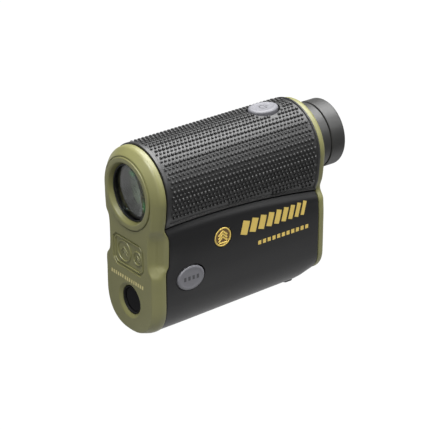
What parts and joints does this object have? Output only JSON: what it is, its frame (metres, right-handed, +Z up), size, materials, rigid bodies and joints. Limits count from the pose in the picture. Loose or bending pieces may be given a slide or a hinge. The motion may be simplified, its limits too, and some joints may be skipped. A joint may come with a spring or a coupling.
{
  "type": "laser rangefinder",
  "caption": "Pocket laser rangefinder with a textured grip, objective above a laser port, eyepiece, press buttons and a hinged battery door.",
  "frame": {"origin": "under the middle of the body, level with the flat of the rear foot and the bottom of the front bezel", "axes": "+Y from the objective to the eyepiece, +Z up, +X towards the side with the mode button"},
  "size_m": [0.0374, 0.097, 0.0773],
  "materials": {
    "olive_polymer": "satin",
    "black_polymer": "matte",
    "grip_rubber": "textured matte",
    "button_grey": "satin",
    "gold_print": "satin",
    "coated_glass": "coated",
    "laser_window": "polished",
    "prism_glass": "polished",
    "black_anodised": "anodised",
    "chassis_alloy": "cast",
    "seal_rubber": "matte",
    "eyecup_rubber": "matte",
    "plated_steel": "plated",
    "circuit_board": "solder mask",
    "switch_body": "satin",
    "battery_wrap": "gloss"
  },
  "bodies": {
    "root": {"front_bezel": "olive_polymer", "rear_bezel": "olive_polymer", "housing_left": "black_polymer", "housing_right": "black_polymer", "rear_foot": "black_polymer", "grip_armor": "grip_rubber", "side_medallion": "gold_print", "objective_lens_front": "coated_glass", "objective_lens_rear": "coated_glass", "laser_lens": "coated_glass", "display_plate": "coated_glass", "laser_window": "laser_window", "roof_prism": "prism_glass", "half_penta_prism": "prism_glass", "objective_retainer": "black_anodised", "objective_cell": "black_anodised", "laser_barrel": "black_anodised", "prism_holder": "chassis_alloy", "optics_chassis": "chassis_alloy", "front_bulkhead": "chassis_alloy", "rear_bulkhead": "chassis_alloy", "objective_seal": "seal_rubber", "laser_window_seal": "seal_rubber", "eyepiece_seal": "seal_rubber", "power_button_seal": "seal_rubber", "mode_button_seal": "seal_rubber", "eyepiece_collar": "eyecup_rubber", "laser_diode": "plated_steel", "receiver_module": "plated_steel", "front_contact": "plated_steel", "door_hinge_pin": "plated_steel", "rear_screw_1": "plated_steel", "rear_screw_2": "plated_steel", "rear_screw_3": "plated_steel", "rear_screw_4": "plated_steel", "main_circuit_board": "circuit_board", "power_switch_board": "circuit_board", "mode_switch_board": "circuit_board", "power_switch": "switch_body", "mode_switch": "switch_body", "battery_sleeve": "switch_body", "battery_cell": "battery_wrap"},
    "power_button": {"power_button": "button_grey"},
    "mode_button": {"mode_button": "button_grey"},
    "focus_ring": {"diopter_ring": "black_anodised", "eyecup": "eyecup_rubber"},
    "ocular": {"ocular_cell": "black_anodised", "ocular_lens_field": "coated_glass", "ocular_lens_eye": "coated_glass", "ocular_retainer": "black_anodised"},
    "battery_door": {"battery_door": "black_polymer", "door_contact": "plated_steel"}
  },
  "joints": [
    {"name": "power_press", "type": "slide", "parent": "root", "child": "power_button", "axis": [0, 0, -1], "range_m": [0, 0.0008], "stiffness_N_per_m": 1800, "springref_m": -0.0003},
    {"name": "mode_press", "type": "slide", "parent": "root", "child": "mode_button", "axis": [-1, 0, 0], "range_m": [0, 0.0007], "stiffness_N_per_m": 1800, "springref_m": -0.0003},
    {"name": "focus_turn", "type": "hinge", "parent": "root", "child": "focus_ring", "pos_m": [0, 0.0415, 0.0589], "axis": [0, 1, 0], "range_deg": [-120, 120]},
    {"name": "ocular_focus", "type": "slide", "parent": "root", "child": "ocular", "axis": [0, 1, 0], "range_m": [-0.001, 0.001]},
    {"name": "battery_door_open", "type": "hinge", "parent": "root", "child": "battery_door", "pos_m": [0, 0.0364, 0.011], "axis": [-1, 0, 0], "range_deg": [0, 100]}
  ],
  "couplings": [
    {"joint": "ocular_focus", "follows": "focus_turn", "m_per_rad": 0.00047}
  ]
}
